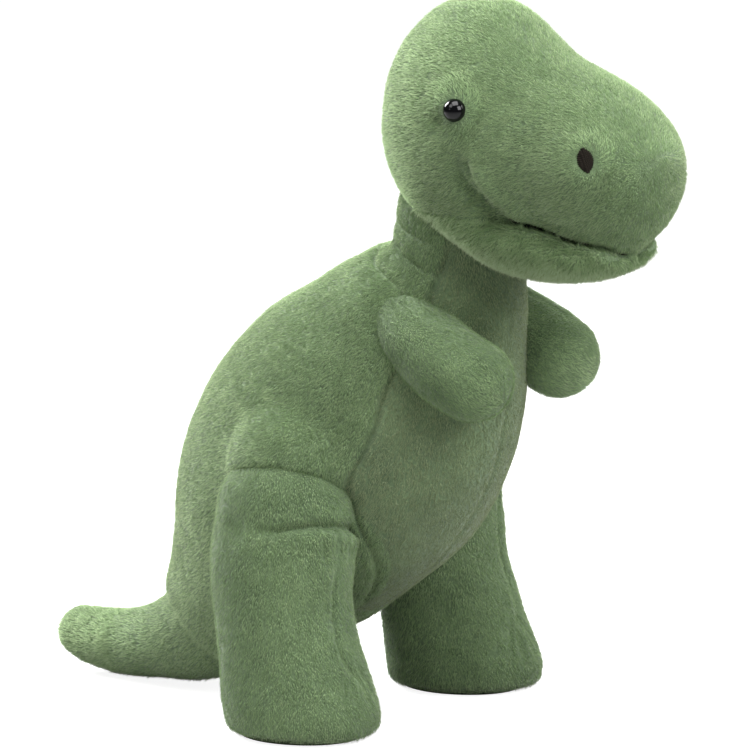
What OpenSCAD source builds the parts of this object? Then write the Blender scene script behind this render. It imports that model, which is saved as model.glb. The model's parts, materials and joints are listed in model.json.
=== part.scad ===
// Standing stuffed dinosaur: sewn plush panels over fibre filling, with soft sewn joints.
// Millimetres. +Z is up, the face looks along -Y, the toy's own left is +X.
// The soles and the underside of the tail rest on the plane z = 0.

/* [Trunk] */
// Height of the hip joints above the floor
hip_h = 76; // [60:1:92]
// Height of the neck joint above the hip joints
trunk_h = 96; // [80:1:116]
// Full width of the trunk at its widest
body_w = 108; // [90:1:130]
// Full depth of the trunk from back to belly
body_d = 114; // [95:1:137]
// Thickness of the plush, backing cloth and pile together
skin = 3; // [2:0.5:4]
/* [Head] */
// Radius of the neck
neck_r = 25; // [21:1:30]
// Height of the neck seam above the neck joint
neck_l = 19; // [14:1:26]
// Length of the head from nape to snout
head_l = 119; // [99:1:143]
// Full width of the head across the cheeks
head_w = 80; // [67:1:96]
// Full height of the head from jaw to crown
head_h = 106; // [88:1:127]
// Radius of the domed eye
eye_r = 4.5; // [3.5:0.5:6]
// Radius of the eye's shank
shank_r = 1.6; // [1.2:0.1:2.2]
// Radius of the lock washer behind the eye
washer_r = 6; // [5:0.5:8]
// Radius of the sewn nostril
nostril_r = 4.5; // [3.5:0.5:6]
/* [Arms] */
// Radius of the arm at the shoulder
arm_r = 13.5; // [11:0.5:16]
// Radius of the round hand
hand_r = 16.5; // [13:0.5:20]
// Distance from the shoulder joint to the middle of the hand
arm_l = 48; // [40:1:58]
// Angle at which the arm points below the horizontal
arm_droop = 33; // [20:1:40]
// How far the hand lies inward of the shoulder
arm_toe_in = 11; // [4:1:13]
/* [Legs] */
// Radius of the thigh at the hip
hip_r = 28; // [24:1:34]
// Half width of the leg
leg_r = 25; // [20:1:30]
// Distance of each foot's middle from the middle of the toy
foot_x = 56; // [47:1:67]
// Length of the foot from heel to toe
foot_l = 60; // [50:1:72]
// Width of the foot
foot_w = 52; // [44:1:62]
// Thickness of the sole piece
sole_t = 3; // [2:0.5:4]
/* [Tail] */
// Radius of the tail at its root
tail_r = 26; // [22:1:31]
// Length of the tail from its root joint to the tip joint
tail_l = 51; // [43:1:66]
// Radius of the tail at the tip joint
tip_r = 14; // [11:0.5:16]
// Length of the tail tip beyond its joint
tip_l = 23; // [18:1:30]
/* [Fit] */
// Clearance round each joint of the toy
gap = 0.6; // [0.4:0.1:1.5]

/* [Hidden] */

green = "#7f9c6f";
deep_green = "#6c8a5e";
fibre_white = "#f0efe8";
bag_cream = "#d9d2c0";
brown = "#4a3a2c";
black = "#101010";

// Places of the joints
neck_y = -43;
hip_y = 2;
hip_x = body_w / 2 - 4;
// The thigh is at least as deep as the leg is wide
thigh_r = max(hip_r, leg_r);
foot_y = -8;
tail_y = 62;
tail_z = tail_r + 4;
shoulder_y = -30;
shoulder_x = neck_r + 15;
neck_z = hip_h + trunk_h;
shoulder_z = neck_z - 11;
seam_z = neck_z + neck_l;
head_y = neck_y + neck_r;
head_z = neck_z;

// Points round a closed ring
around = 36;
limb_around = 24;
// Distance from a joint's centre back to the rim of its socket
rim = 9;
// Widest swing of a leg either way, in degrees
leg_swing = 20;
// Axis about which an arm lifts up and outward, and the swings at which it still meets the body
arm_axis = [-0.8, 0, 0.6];
arm_swings = [-3, 4];
// Room beside the length of the arm
arm_room = 2;
// Steps of latitude that close a rounded end, in degrees
cap_steps = [24, 46, 66, 82];
// Smallest distance kept between a filling and the skin over it
slack = 0.25;

// ---- Rings and the solids made of them ----

// Ring of points about a centre: x is the toy's width, tilt is the climb of the ring's axis
function ring(c, tilt, a, up, down, angles) = [
    for (th = angles)
        let (reach = (sin(th) > 0 ? up : down) * sin(th))
        c + [a * cos(th), reach * sin(tilt), reach * cos(tilt)]
];
function full_turn(n) = [for (j = [0 : n - 1]) 360 * j / n];
function arc(from, to, n) = [for (j = [0 : n]) from + (to - from) * j / n];
function axis_of(tilt) = [0, -cos(tilt), sin(tilt)];

// One station is [centre, tilt, half width, reach up, reach down]
function inset_ring(s, inset, angles) =
    ring(s[0], s[1], s[2] - inset, s[3] - inset, s[4] - inset, angles);
function cap_ring(s, inset, length, lat, angles) =
    ring(s[0] + axis_of(s[1]) * (length < 0 ? length + inset : length - inset) * sin(lat),
        s[1], (s[2] - inset) * cos(lat), (s[3] - inset) * cos(lat), (s[4] - inset) * cos(lat), angles);
// Rings of a form with a rounded end of length first and last, where that isn't 0
function form_rings(stations, inset, first, last, angles) = concat(
    first == 0 ? [] : [for (k = [len(cap_steps) - 1 : -1 : 0])
        cap_ring(stations[0], inset, -first, cap_steps[k], angles)],
    [for (s = stations) inset_ring(s, inset, angles)],
    last == 0 ? [] : [for (lat = cap_steps)
        cap_ring(stations[len(stations) - 1], inset, last, lat, angles)]);

function strip(base, m, i, j, k) = [
    [base + i * m + j, base + (i + 1) * m + j, base + (i + 1) * m + k],
    [base + i * m + j, base + (i + 1) * m + k, base + i * m + k]
];
function flipped(faces) = [for (f = faces) [f[0], f[2], f[1]]];

// Closed solid through a list of rings
module solid_of(rings) {
    m = len(rings[0]);
    last = len(rings) - 1;
    sides = [for (i = [0 : last - 1], j = [0 : m - 1], f = strip(0, m, i, j, (j + 1) % m)) f];
    start = [[for (j = [0 : m - 1]) j]];
    end = [[for (j = [m - 1 : -1 : 0]) last * m + j]];
    polyhedron(points = [for (r = rings, p = r) p], faces = concat(sides, start, end));
}

// Closed sheet between an outer and an inner list of open rings
module sheet_of(outer, inner) {
    m = len(outer[0]);
    last = len(outer) - 1;
    far = len(outer) * m;
    over = [for (i = [0 : last - 1], j = [0 : m - 2], f = strip(0, m, i, j, j + 1)) f];
    under = [for (i = [0 : last - 1], j = [0 : m - 2], f = strip(far, m, i, j, j + 1)) f];
    ends = [for (j = [0 : m - 2])
        each [[j, j + 1, far + j + 1], [j, far + j + 1, far + j]]];
    tails = [for (j = [0 : m - 2]) let (a = last * m + j)
        each [[a, far + a, far + a + 1], [a, far + a + 1, a + 1]]];
    edges = [for (i = [0 : last - 1]) let (a = i * m, b = a + m - 1)
        each [[a, far + a, far + a + m], [a, far + a + m, a + m],
            [b, b + m, far + b + m], [b, far + b + m, far + b]]];
    polyhedron(points = [for (r = concat(outer, inner), p = r) p],
        faces = concat(over, flipped(under), ends, tails, edges));
}

// Plush panel over the stations between two angles
module panel(stations, first, last, from, to, n) {
    angles = arc(from, to, n);
    sheet_of(form_rings(stations, 0, first, last, angles),
        form_rings(stations, skin, first, last, angles));
}

// Filling inside the panels
module filling(stations, first, last, n) {
    solid_of(form_rings(stations, skin + slack, first, last, full_turn(n)));
}

module both_sides(side) {
    if (side > 0) children();
    else mirror([1, 0, 0]) children();
}

// ---- Trunk ----

tail_joint = [0, tail_y, tail_z];
trunk_bend = [0, -8, hip_h + trunk_h / 4];
neck_joint = [0, neck_y, neck_z];

// Way along the spine, then half width, back and belly as hundredths of the trunk's size
trunk_form = [
    [0.13, 70, 74, 63], [0.2, 82, 87, 72], [0.28, 91, 96, 80],
    [0.36, 97, 102, 87], [0.44, 100, 105, 93], [0.52, 100, 104, 95], [0.6, 97, 100, 94],
    [0.68, 90, 92, 88], [0.76, 81, 81, 80], [0.84, 70, 69, 70]
];
// The same at the two open ends, but in millimetres beyond the ball that each end holds
tail_end = [[0.06, 5, 6, 5]];
neck_end = [[0.9, 8.5, 10, 10.5], [0.95, 6, 6.5, 7]];
function spine(t) = (1 - t) * (1 - t) * tail_joint + 2 * t * (1 - t) * trunk_bend + t * t * neck_joint;
function spine_way(t) = (1 - t) * (trunk_bend - tail_joint) + t * (neck_joint - trunk_bend);
function tilt_of(way) = atan2(way[2], -way[1]);
function trunk_station(way, half, back, belly) = [spine(way), tilt_of(spine_way(way)), half, back, belly];
function open_end(rows, ball) = [for (f = rows) trunk_station(f[0], ball + f[1], ball + f[2], ball + f[3])];
trunk = concat(
    open_end(tail_end, tail_r),
    [for (f = trunk_form) trunk_station(f[0], f[1] * body_w / 200, f[2] * body_d / 200, f[3] * body_d / 200)],
    open_end(neck_end, neck_r));

// Angles of the belly panel's two seams
belly_from = -132;
belly_to = -48;

// Hollow ring of a ball socket: rings from its floor out to its rim
function bowl(centre, tilt, way, ball, angles) = [
    for (rho = [0.08, 0.4, 0.7, 0.9, 1])
        let (lip = sqrt(ball * ball - rim * rim), r = rho * lip)
        ring(centre + axis_of(tilt) * way * sqrt(ball * ball - r * r), tilt, r, r, r, angles)
];

module hip_cuts() {
    for (side = [-1, 1]) {
        translate([side * hip_x, hip_y, hip_h]) sphere(r = thigh_r + gap, $fn = 64);
        // Room for the leg to swing below the hip
        inner = min(hip_x, foot_x) - leg_r - gap;
        for (swing = [-leg_swing, 0, leg_swing])
            translate([side > 0 ? inner : -inner - body_w, hip_y, hip_h]) rotate([swing, 0, 0])
                translate([0, -thigh_r - gap, -hip_h]) cube([body_w, 2 * (thigh_r + gap), hip_h]);
    }
}
// Room for an arm at one swing
module arm_space(swing) {
    reach = along_arm(arm_l) - shoulder;
    translate(shoulder) rotate(a = swing, v = arm_axis) {
        translate(reach) sphere(r = hand_r + gap, $fn = 64);
        rotate([0, acos(reach[2] / norm(reach)), atan2(reach[1], reach[0])])
            cylinder(r = hand_r + arm_room, h = norm(reach), $fn = 64);
    }
}
module shoulder_cuts() {
    for (side = [-1, 1]) both_sides(side) {
        translate(shoulder) sphere(r = arm_r + gap, $fn = 64);
        for (swing = arm_swings) arm_space(swing);
    }
}
// Opening of the seat's pellet bag
module bag_ball(grow) {
    translate(spine(0.33) + [0, 0, -6]) sphere(r = 20 + grow, $fn = 48);
}

module body_panel(side) {
    color(green) difference() {
        both_sides(side) panel(trunk, 0, 0, belly_to, 90, 18);
        hip_cuts();
        shoulder_cuts();
    }
}
module belly_panel() {
    color(deep_green) difference() {
        panel(trunk, 0, 0, belly_from, belly_to, 12);
        hip_cuts();
        shoulder_cuts();
    }
}
module body_filling() {
    angles = full_turn(around);
    last = len(trunk) - 1;
    rings = concat(
        bowl(tail_joint, trunk[0][1], 1, tail_r + gap, angles),
        [for (s = trunk) inset_ring(s, skin + slack, angles)],
        [for (r = [4 : -1 : 0]) bowl(neck_joint, trunk[last][1], -1, neck_r + gap, angles)[r]]);
    color(fibre_white) difference() {
        solid_of(rings);
        hip_cuts();
        shoulder_cuts();
        bag_ball(slack);
    }
}
module body_pellet_bag() {
    color(bag_cream) bag_ball(0);
}

// ---- Neck ----

neck_column = [
    [neck_joint, 90, neck_r, neck_r, neck_r],
    [neck_joint + [0, 0, 5], 90, neck_r - 0.7, neck_r - 0.7, neck_r - 0.7],
    [[0, neck_y, seam_z - gap], 90, neck_r - 1, neck_r - 1, neck_r - 1]
];
module neck_panel() {
    color(green) panel(neck_column, neck_r, 0, -48, 228, 24);
}
module throat_panel() {
    color(deep_green) panel(neck_column, neck_r, 0, 228, 312, 8);
}
module neck_filling() {
    color(fibre_white) filling(neck_column, neck_r, 0, around);
}

// ---- Head ----

// Way from nape to snout, then half width, crown and jaw, all in hundredths
head_form = [
    [2, 36, 66, 38], [6, 64, 82, 27], [12, 84, 92, 18], [20, 96, 98, 12], [30, 100, 100, 9],
    [40, 98, 98, 5], [50, 93, 91, 2], [58, 88, 84, 0.5], [66, 85, 79.5, 0], [75, 84, 75, 0.5],
    [83, 79, 70, 4], [90, 69, 63, 11], [96, 50, 55, 21], [99, 28, 48, 31]
];
function head_mid(way) = 55 - 14 * way / 100;
head = [for (f = head_form)
    [[0, head_y - f[0] * head_l / 100, head_z + head_mid(f[0]) * head_h / 100], 0,
        f[1] * head_w / 200,
        (f[2] - head_mid(f[0])) * head_h / 100,
        (head_mid(f[0]) - f[3]) * head_h / 100]];

function row(k) = [for (f = head_form) [f[0], f[k]]];
function head_point(way, th) =
    let (w = lookup(way, row(1)), top = lookup(way, row(2)), bottom = lookup(way, row(3)),
        mid = head_mid(way), reach = sin(th) > 0 ? top - mid : mid - bottom)
    [w * head_w / 200 * cos(th), head_y - way * head_l / 100,
        head_z + (mid + reach * sin(th)) * head_h / 100];
function unit(v) = v / norm(v);
function head_normal(way, th) = unit(cross(
    head_point(way + 2, th) - head_point(way - 2, th),
    head_point(way, th - 2) - head_point(way, th + 2)));
// Stands its children on the head's surface, with their +Z pointing out of it
module on_head(way, th) {
    n = head_normal(way, th);
    translate(head_point(way, th)) rotate([0, acos(n[2]), atan2(n[1], n[0])]) children();
}

eye_way = 39;
eye_angle = 17;
nostril_way = 84;
nostril_angle = 14;
// Depth to which the eye's flat back is set into the plush
eye_sink = 2;
shank_l = 10;
washer_depth = skin + 1;
washer_t = 1.5;
nostril_t = 1.2;
gusset_from = 62;
mouth_angle = -38;

module head_cuts() {
    translate([0, neck_y, neck_z - head_h]) cylinder(r = neck_r + gap, h = head_h + neck_l, $fn = 72);
}
module eye_place(side) {
    both_sides(side) on_head(eye_way, eye_angle) children();
}
module nostril_place(side) {
    both_sides(side) on_head(nostril_way, nostril_angle) children();
}
module head_side(side) {
    color(green) difference() {
        both_sides(side) panel(head, 0, 0, mouth_angle, gusset_from, 14);
        head_cuts();
        eye_place(side) {
            translate([0, 0, -shank_l]) cylinder(r = shank_r + 0.2, h = 2 * shank_l, $fn = 32);
            translate([0, 0, -eye_sink - 0.2]) cylinder(r = eye_r + 0.3, h = shank_l, $fn = 48);
        }
        nostril_place(side) translate([0, 0, -nostril_t]) cylinder(r = nostril_r + 0.1, h = 6, $fn = 48);
    }
}
module head_gusset() {
    color(green) panel(head, 0, 0, gusset_from, 180 - gusset_from, 8);
}
module jaw_panel() {
    color(deep_green) difference() {
        panel(head, 0, 0, -180 - mouth_angle, mouth_angle, 14);
        head_cuts();
    }
}
module head_filling() {
    color(fibre_white) difference() {
        filling(head, 0, 0, around);
        head_cuts();
        for (side = [-1, 1])
            eye_place(side) translate([0, 0, -eye_sink - shank_l - 1])
                cylinder(r = washer_r + 0.3, h = eye_sink + shank_l + 1, $fn = 48);
    }
}
module eye(side) {
    color(black) eye_place(side) {
        translate([0, 0, -eye_sink]) intersection() {
            sphere(r = eye_r, $fn = 48);
            cylinder(r = eye_r + 1, h = eye_r + 1, $fn = 48);
        }
        translate([0, 0, -eye_sink - shank_l]) cylinder(r = shank_r, h = shank_l, $fn = 32);
    }
}
module eye_washer(side) {
    color("white") eye_place(side) translate([0, 0, -washer_depth - washer_t]) difference() {
        cylinder(r = washer_r, h = washer_t, $fn = 48);
        translate([0, 0, -1]) cylinder(r = shank_r + 0.05, h = washer_t + 2, $fn = 32);
    }
}
module nostril(side) {
    color(brown) nostril_place(side) translate([0, 0, 0.1 - nostril_t])
        cylinder(r = nostril_r, h = nostril_t + 0.2, $fn = 48);
}
// Thread along the mouth seam, on both sides of the muzzle
module mouth_stitching() {
    thread = 1.1;
    lift = 0.15;
    line = [for (i = [4 : len(head) - 1]) head[i]];
    color(brown) for (side = [-1, 1]) both_sides(side) {
        angles = arc(mouth_angle - 1, mouth_angle + 1, 2);
        sheet_of(form_rings(line, -thread - lift, 0, 0, angles), form_rings(line, -lift, 0, 0, angles));
    }
}

// ---- Arms ----

shoulder = [shoulder_x, shoulder_y, shoulder_z];
function along_arm(l) = shoulder + axis_of(-arm_droop) * l - [arm_toe_in * l / arm_l, 0, 0];
arm = [
    [along_arm(0), -arm_droop, arm_r, arm_r, arm_r],
    [along_arm(arm_l * 0.35), -arm_droop, arm_r, arm_r, arm_r],
    [along_arm(arm_l * 0.7), -arm_droop, arm_r + 1, arm_r + 1, arm_r + 1],
    [along_arm(arm_l), -arm_droop, hand_r, hand_r, hand_r]
];
module arm_panel(side, from, to) {
    color(green) both_sides(side) panel(arm, arm_r, hand_r, from, to, limb_around / 2);
}
module arm_filling(side) {
    color(fibre_white) both_sides(side) filling(arm, arm_r, hand_r, limb_around);
}

// ---- Legs ----

// Stations from the hip down to the top of the sole
function leg_x(share) = hip_x + (foot_x - hip_x) * share;
leg = [
    [[hip_x, hip_y, hip_h], -90, leg_r, thigh_r, thigh_r],
    [[leg_x(0.25), hip_y, hip_h * 0.85], -90, leg_r, thigh_r - 0.3, thigh_r - 0.3],
    [[leg_x(0.6), hip_y - 1, hip_h * 0.68], -90, leg_r, thigh_r - 1, thigh_r - 1],
    [[leg_x(0.85), hip_y - 3, hip_h * 0.48], -90, leg_r - 0.5, thigh_r - 2, thigh_r - 1.5],
    [[foot_x, hip_y - 6, hip_h * 0.3], -90, leg_r, foot_l / 2 - 3, thigh_r - 1],
    [[foot_x, foot_y, hip_h * 0.16], -90, foot_w / 2, foot_l / 2, foot_l / 2 - 1],
    [[foot_x, foot_y, sole_t + 0.1], -90, foot_w / 2 - 1, foot_l / 2 - 1, foot_l / 2 - 2]
];
module leg_panel(side, from, to) {
    color(green) both_sides(side) panel(leg, thigh_r, 0, from, to, limb_around / 2);
}
module foot_bag_space(grow) {
    translate([foot_x, foot_y, sole_t + 12]) scale([1, 1, 0.5]) sphere(r = 17 + grow, $fn = 48);
}
module leg_filling(side) {
    color(fibre_white) both_sides(side) difference() {
        filling(leg, thigh_r, 0, limb_around);
        foot_bag_space(0.3);
    }
}
module foot_pellet_bag(side) {
    color(bag_cream) both_sides(side) foot_bag_space(0);
}
module sole(side) {
    foot = leg[len(leg) - 1];
    outline = [for (p = inset_ring(foot, 0, full_turn(around))) [p[0], p[1]]];
    color(deep_green) both_sides(side) linear_extrude(sole_t) polygon(outline);
}

// ---- Tail ----

tip_joint = [0, tail_y + tail_l, tip_r + 0.5];
tail_bend = [0, tail_y + tail_l * 0.45, tip_r + 1];
function tail_at(t) = (1 - t) * (1 - t) * tail_joint + 2 * t * (1 - t) * tail_bend + t * t * tip_joint;
function tail_way(t) = (1 - t) * (tail_joint - tail_bend) + t * (tail_bend - tip_joint);
function tail_size(t) = tail_r + (tip_r + 1 - tail_r) * t;
// The underside never goes below the floor
function tail_station(t) = let (c = tail_at(t), r = tail_size(t), tilt = tilt_of(tail_way(t)))
    [[c[0], c[1], max(c[2], r)], tilt, r, r, r];
tail_ends = 0.8;
tail = [for (k = [4 : -1 : 0]) tail_station(tail_ends * k / 4)];
tip = [
    [tip_joint + [0, tip_l * 0.62, 3], -12, tip_r * 0.68, tip_r * 0.68, tip_r * 0.68],
    [tip_joint + [0, tip_l * 0.3, 1], -8, tip_r * 0.85, tip_r * 0.85, tip_r * 0.85],
    [tip_joint, -2, tip_r, tip_r, tip_r]
];
tip_cap = tip_l * 0.38;

module tail_socket() {
    translate(tip_joint) sphere(r = tip_r + gap, $fn = 64);
}
module tail_panel(side) {
    color(green) difference() {
        both_sides(side) panel(tail, 0, tail_r, -90, 90, 12);
        tail_socket();
    }
}
module tail_filling() {
    color(fibre_white) difference() {
        filling(tail, 0, tail_r, limb_around);
        tail_socket();
    }
}
module tail_tip_skin() {
    color(green) difference() {
        solid_of(form_rings(tip, 0, tip_cap, tip_r, full_turn(limb_around)));
        solid_of(form_rings(tip, skin, tip_cap, tip_r, full_turn(limb_around)));
    }
}
module tail_tip_filling() {
    color(fibre_white) filling(tip, tip_cap, tip_r, limb_around);
}

body_panel(1);  // body_panel_left
body_panel(-1);  // body_panel_right
belly_panel();
body_filling();
body_pellet_bag();
neck_panel();
throat_panel();
neck_filling();
head_side(1);  // head_side_left
head_side(-1);  // head_side_right
head_gusset();
jaw_panel();
head_filling();
eye(1);  // eye_left
eye(-1);  // eye_right
eye_washer(1);  // eye_washer_left
eye_washer(-1);  // eye_washer_right
nostril(1);  // nostril_left
nostril(-1);  // nostril_right
mouth_stitching();
arm_panel(1, -90, 90);  // arm_outer_left
arm_panel(1, 90, 270);  // arm_inner_left
arm_filling(1);  // arm_filling_left
arm_panel(-1, -90, 90);  // arm_outer_right
arm_panel(-1, 90, 270);  // arm_inner_right
arm_filling(-1);  // arm_filling_right
leg_panel(1, -90, 90);  // leg_outer_left
leg_panel(1, 90, 270);  // leg_inner_left
sole(1);  // sole_left
leg_filling(1);  // leg_filling_left
foot_pellet_bag(1);  // foot_pellet_bag_left
leg_panel(-1, -90, 90);  // leg_outer_right
leg_panel(-1, 90, 270);  // leg_inner_right
sole(-1);  // sole_right
leg_filling(-1);  // leg_filling_right
foot_pellet_bag(-1);  // foot_pellet_bag_right
tail_panel(1);  // tail_panel_left
tail_panel(-1);  // tail_panel_right
tail_filling();
tail_tip_skin();
tail_tip_filling();
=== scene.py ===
"""Looks of the stuffed dinosaur: cloth skins, pile, seams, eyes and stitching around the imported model.

Metres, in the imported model's frame: +Z up, the face looks along -Y, the toy's own left is +X.
"""
import json
import math

import bpy
import numpy as np
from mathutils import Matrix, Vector


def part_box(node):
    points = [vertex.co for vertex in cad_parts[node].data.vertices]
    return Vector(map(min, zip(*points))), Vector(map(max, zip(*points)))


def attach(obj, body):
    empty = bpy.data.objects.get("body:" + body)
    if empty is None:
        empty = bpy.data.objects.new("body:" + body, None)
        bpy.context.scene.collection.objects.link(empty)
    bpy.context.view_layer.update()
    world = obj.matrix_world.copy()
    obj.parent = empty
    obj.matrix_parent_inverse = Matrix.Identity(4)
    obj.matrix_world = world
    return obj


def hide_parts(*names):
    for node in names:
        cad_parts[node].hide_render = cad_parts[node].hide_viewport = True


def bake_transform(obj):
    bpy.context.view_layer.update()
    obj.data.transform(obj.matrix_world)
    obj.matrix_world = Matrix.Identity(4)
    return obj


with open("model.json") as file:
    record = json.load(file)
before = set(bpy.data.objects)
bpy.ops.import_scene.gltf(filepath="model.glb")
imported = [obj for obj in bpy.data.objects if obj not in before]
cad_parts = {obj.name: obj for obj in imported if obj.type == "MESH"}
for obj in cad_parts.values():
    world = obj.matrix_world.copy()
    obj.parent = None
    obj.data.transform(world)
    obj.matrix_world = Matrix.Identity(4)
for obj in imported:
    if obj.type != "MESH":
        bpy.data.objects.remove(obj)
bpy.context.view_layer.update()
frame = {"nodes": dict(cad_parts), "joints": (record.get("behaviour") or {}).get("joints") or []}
JOINTS = {j["name"]: Vector(j["pos_m"]) for j in frame["joints"]}
MM = 0.001
UP = np.array([0.0, 0.0, 1.0])

# How far the cloth lies inside the CAD surface, which is the surface of the pile
PILE_RISE = 1.1 * MM
VOXEL = 2.0 * MM
AROUND = 72


# ---- Forms: rings along an axis in the plane x = const, closed, remeshed and smoothed ----

def catmull(rows, per_span):
    """Rows of numbers, resampled along a Catmull-Rom curve that passes through each row."""
    rows = np.array(rows, float)
    first, last = 2 * rows[0] - rows[1], 2 * rows[-1] - rows[-2]
    ext = np.vstack([first, rows, last])
    out = []
    for i in range(1, len(ext) - 2):
        p0, p1, p2, p3 = ext[i - 1:i + 3]
        for k in range(per_span):
            u = k / per_span
            out.append(0.5 * (2 * p1 + (p2 - p0) * u + (2 * p0 - 5 * p1 + 4 * p2 - p3) * u * u
                              + (3 * p1 - p0 - 3 * p2 + p3) * u ** 3))
    out.append(rows[-1])
    return np.array(out)


def ring_points(row, angles, inset=0.0):
    """Points of one ring.

    A row is x, y, z, climb of the axis in degrees, half width, reach up and reach down.
    """
    x, y, z, climb, a, up, down = row
    t = math.radians(climb)
    s, c = np.sin(angles), np.cos(angles)
    reach = np.where(s > 0, up - inset, down - inset) * s
    return np.stack([x + (a - inset) * c, y + reach * math.sin(t), z + reach * math.cos(t)], 1)


def axis_of(row):
    t = math.radians(row[3])
    return np.array([0.0, -math.cos(t), math.sin(t)])


def form_rings(rows, inset, first_cap, last_cap):
    """Every ring of a form, its rounded ends included.

    A cap's length is negative where the axis of the rows points against their order.
    """
    rows = catmull(rows, 6)
    angles = np.linspace(0, 2 * math.pi, AROUND, endpoint=False)
    latitudes = np.radians(np.arange(12, 90, 12))

    def cap(row, length):
        made = []
        for lat in latitudes:
            r = row.copy()
            r[:3] += axis_of(row) * math.copysign(max(abs(length) - inset, 0), length) * math.sin(lat)
            ring = ring_points(r, angles, inset)
            made.append(r[:3] + (ring - r[:3]) * math.cos(lat))
        return made

    rings = [ring_points(r, angles, inset) for r in rows]
    return cap(rows[0], -first_cap)[::-1] + rings + cap(rows[-1], last_cap)


def loft_mesh(rings):
    """Vertices and faces of a closed loft through the rings."""
    n = len(rings[0])
    verts = np.vstack([rings[0].mean(0)[None], *rings, rings[-1].mean(0)[None]])
    faces = []
    for i in range(len(rings) - 1):
        for j in range(n):
            k = (j + 1) % n
            a, b = 1 + i * n, 1 + (i + 1) * n
            faces.append((a + j, a + k, b + k, b + j))
    last = 1 + (len(rings) - 1) * n
    for j in range(n):
        k = (j + 1) % n
        faces.append((0, 1 + k, 1 + j))
        faces.append((len(verts) - 1, last + j, last + k))
    return verts, faces


def ball_rings(centre, radii):
    """Rings of an ellipsoid along the Y axis."""
    angles = np.linspace(0, 2 * math.pi, AROUND, endpoint=False)
    rings = []
    for lat in np.radians(np.arange(-80, 81, 10)):
        ring = np.stack([radii[0] * np.cos(angles) * math.cos(lat),
                         np.full(AROUND, -radii[1] * math.sin(lat)),
                         radii[2] * np.sin(angles) * math.cos(lat)], 1)
        rings.append(np.array(centre) + ring)
    return rings


def new_object(name, verts, faces):
    mesh = bpy.data.meshes.new(name)
    mesh.from_pydata([tuple(v) for v in verts], [], [tuple(f) for f in faces])
    mesh.update()
    obj = bpy.data.objects.new(name, mesh)
    bpy.context.scene.collection.objects.link(obj)
    return obj


def settle(obj):
    """Applies every modifier of obj to its mesh."""
    bpy.context.view_layer.update()
    graph = bpy.context.evaluated_depsgraph_get()
    mesh = bpy.data.meshes.new_from_object(obj.evaluated_get(graph))
    obj.modifiers.clear()
    old = obj.data
    obj.data = mesh
    bpy.data.meshes.remove(old)
    return obj


def form(name, lofts, voxel=VOXEL, smooth=6, swell=0.4 * MM):
    """One closed skin: several lofts in one, evenly meshed, smoothed, and swelled by what that took."""
    verts, faces = [], []
    for rings in lofts:
        v, f = loft_mesh(rings)
        base = sum(len(p) for p in verts)
        verts.append(v)
        faces += [tuple(base + i for i in face) for face in f]
    obj = new_object(name, np.vstack(verts), faces)
    remesh = obj.modifiers.new("remesh", "REMESH")
    remesh.mode = "VOXEL"
    remesh.voxel_size = voxel
    soften = obj.modifiers.new("soften", "SMOOTH")
    soften.factor = 0.5
    soften.iterations = smooth
    settle(obj)
    sub = obj.modifiers.new("subdivide", "SUBSURF")
    sub.levels = sub.render_levels = 1
    settle(obj)
    obj.data.polygons.foreach_set("use_smooth", np.ones(len(obj.data.polygons), bool))
    set_coords(obj, coords(obj) + normals(obj) * swell)
    return obj


def coords(obj):
    co = np.empty(len(obj.data.vertices) * 3, np.float32)
    obj.data.vertices.foreach_get("co", co)
    return co.reshape(-1, 3).astype(float)


def normals(obj):
    no = np.empty(len(obj.data.vertices) * 3, np.float32)
    obj.data.vertex_normals.foreach_get("vector", no)
    return no.reshape(-1, 3).astype(float)


def set_coords(obj, co):
    obj.data.vertices.foreach_set("co", co.astype(np.float32).ravel())
    obj.data.update()


def path_distance(co, path):
    """Distance of each point to a line through path, and how far along it the nearest point is, 0 to 1."""
    path = np.array(path, float)
    best, where = np.full(len(co), 1e9), np.zeros(len(co))
    steps = np.linalg.norm(np.diff(path, axis=0), axis=1)
    total, run = steps.sum(), 0.0
    for a, b, step in zip(path[:-1], path[1:], steps):
        ab = b - a
        u = np.clip(((co - a) @ ab) / max(ab @ ab, 1e-12), 0, 1)
        d = np.linalg.norm(co - (a + u[:, None] * ab), axis=1)
        near = d < best
        best[near], where[near] = d[near], ((run + u * step) / total)[near]
        run += step
    return best, where


def on_skin(co, path):
    """A smooth line through path, moved onto the nearest vertices of a skin."""
    line = catmull(path, 5)
    near = np.array([co[np.argmin(((co - p) ** 2).sum(1))] for p in line])
    for _ in range(3):
        near[1:-1] = (near[:-2] + 2 * near[1:-1] + near[2:]) / 4
    return near


def groove(obj, path, depth, width, taper=True):
    """Presses a crease into the skin along a path of points, or raises a ridge where depth is negative."""
    co, no = coords(obj), normals(obj)
    d, where = path_distance(co, on_skin(co, path))
    fade = np.sin(np.clip(where, 0.02, 0.98) * math.pi) ** 0.4 if taper else 1.0
    set_coords(obj, co - no * (depth * fade * np.exp(-(d / width) ** 2))[:, None])


def bump(obj, centre, height, radius):
    """Raises the skin, or presses a dimple into it where height is negative."""
    co, no = coords(obj), normals(obj)
    d = np.linalg.norm(co - np.array(centre), axis=1)
    set_coords(obj, co + no * (height * np.exp(-(d / radius) ** 2))[:, None])


def noise(co, scale, seed, octaves=2):
    """Smooth noise from -1 to 1 at each point: sums of sines in seeded directions."""
    rng = np.random.default_rng(seed)
    total, weight = np.zeros(len(co)), 0.0
    for octave in range(octaves):
        for _ in range(7):
            way = rng.normal(size=3)
            way *= 2 * math.pi * (2 ** octave) / (scale * np.linalg.norm(way)) * rng.uniform(0.6, 1.4)
            total += np.sin(co @ way + rng.uniform(0, 6.28)) / (2 ** octave)
        weight += 7 ** 0.5 / (2 ** octave)
    return np.clip(total / weight / 1.6, -1, 1)


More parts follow.
